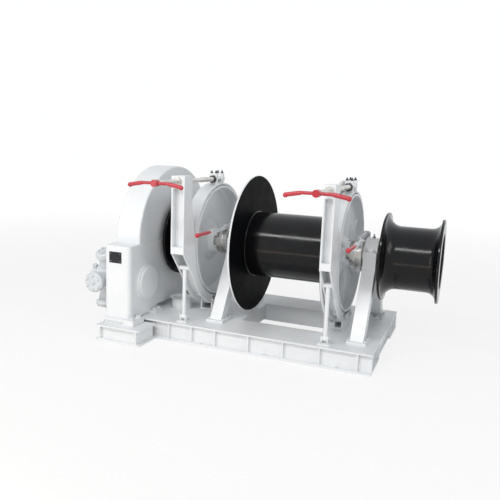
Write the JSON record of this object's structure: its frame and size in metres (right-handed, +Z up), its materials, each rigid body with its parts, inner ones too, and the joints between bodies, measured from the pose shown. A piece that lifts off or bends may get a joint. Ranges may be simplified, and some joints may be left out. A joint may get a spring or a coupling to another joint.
{
  "type": "mooring winch",
  "caption": "Hydraulic mooring winch: rope drum, cable lifter and warping head on one shaft, with band brakes, jaw clutches and a gear case on a welded base frame.",
  "frame": {"origin": "middle of the foundation bolt pattern, on the base frame's underside, below the shaft", "axes": "+X along the shaft from the gear case to the warping head, +Y away from the brake handles, +Z up"},
  "size_m": [2.703, 1.72, 1.312],
  "materials": {
    "white_paint": "satin marine paint",
    "black_paint": "gloss",
    "red_paint": "gloss",
    "machined_steel": "machined and greased",
    "motor_paint": "satin on castings"
  },
  "bodies": {
    "base": {"back_band_left": "white_paint", "back_band_right": "white_paint", "back_girder": "white_paint", "bearing_cap_left": "white_paint", "bearing_cap_right": "white_paint", "brake_anchor_left": "white_paint", "brake_anchor_right": "white_paint", "brake_frame_left": "white_paint", "brake_frame_right": "white_paint", "brake_strut_left": "white_paint", "brake_strut_right": "white_paint", "chain_pipe": "white_paint", "front_band_left": "white_paint", "front_band_right": "white_paint", "front_girder": "white_paint", "gear_bed_back": "white_paint", "gear_bed_front": "white_paint", "gear_case": "white_paint", "gear_cover": "white_paint", "hydraulic_motor": "motor_paint", "left_deck": "white_paint", "lever_bracket_left": "white_paint", "lever_bracket_right": "white_paint", "motor_valve": "motor_paint", "pinion_cap": "white_paint", "right_deck": "white_paint", "shaft_gland": "white_paint", "stand_left": "white_paint", "stand_right": "white_paint"},
    "shaft": {"main_shaft": "machined_steel", "warping_head": "black_paint", "head_nut": "white_paint"},
    "drum": {"rope_barrel": "black_paint", "drum_flange_left": "black_paint", "drum_flange_right": "black_paint", "brake_wheel_right": "white_paint"},
    "lifter": {"cable_lifter": "black_paint", "brake_wheel_left": "white_paint"},
    "clutch_left": {"clutch_sleeve_left": "machined_steel"},
    "clutch_right": {"clutch_sleeve_right": "machined_steel"},
    "lever_left": {"clutch_lever_left": "white_paint", "lever_grip_left": "red_paint"},
    "lever_right": {"clutch_lever_right": "white_paint", "lever_grip_right": "red_paint"},
    "spindle_left": {"brake_spindle_left": "machined_steel", "brake_handle_left": "red_paint"},
    "spindle_right": {"brake_spindle_right": "machined_steel", "brake_handle_right": "red_paint"}
  },
  "joints": [
    {"name": "shaft_spin", "type": "hinge", "parent": "base", "child": "shaft", "pos_m": [0, 0, 0.72], "axis": [1, 0, 0], "continuous": true},
    {"name": "drum_spin", "type": "hinge", "parent": "base", "child": "drum", "pos_m": [0, 0, 0.72], "axis": [1, 0, 0], "continuous": true},
    {"name": "lifter_spin", "type": "hinge", "parent": "base", "child": "lifter", "pos_m": [0, 0, 0.72], "axis": [1, 0, 0], "continuous": true},
    {"name": "clutch_slide_left", "type": "slide", "parent": "shaft", "child": "clutch_left", "axis": [1, 0, 0], "range_m": [-0.024, 0]},
    {"name": "clutch_lever_swing_left", "type": "hinge", "parent": "base", "child": "lever_left", "pos_m": [-0.326, 0.25, 0.72], "axis": [0, 0, 1], "range_deg": [-5.6, 0]},
    {"name": "clutch_slide_right", "type": "slide", "parent": "shaft", "child": "clutch_right", "axis": [1, 0, 0], "range_m": [-0.024, 0]},
    {"name": "clutch_lever_swing_right", "type": "hinge", "parent": "base", "child": "lever_right", "pos_m": [0.779, 0.25, 0.72], "axis": [0, 0, 1], "range_deg": [-5.6, 0]},
    {"name": "brake_screw_left", "type": "hinge", "parent": "base", "child": "spindle_left", "pos_m": [-0.443, 0, 1.225], "axis": [0, 1, 0], "range_deg": [-450, 450]},
    {"name": "brake_screw_right", "type": "hinge", "parent": "base", "child": "spindle_right", "pos_m": [0.6765, 0, 1.225], "axis": [0, 1, 0], "range_deg": [-450, 450]}
  ],
  "couplings": [
    {"joint": "clutch_lever_swing_left", "follows": "clutch_slide_left", "rad_per_m": 4},
    {"joint": "clutch_lever_swing_right", "follows": "clutch_slide_right", "rad_per_m": 4}
  ]
}
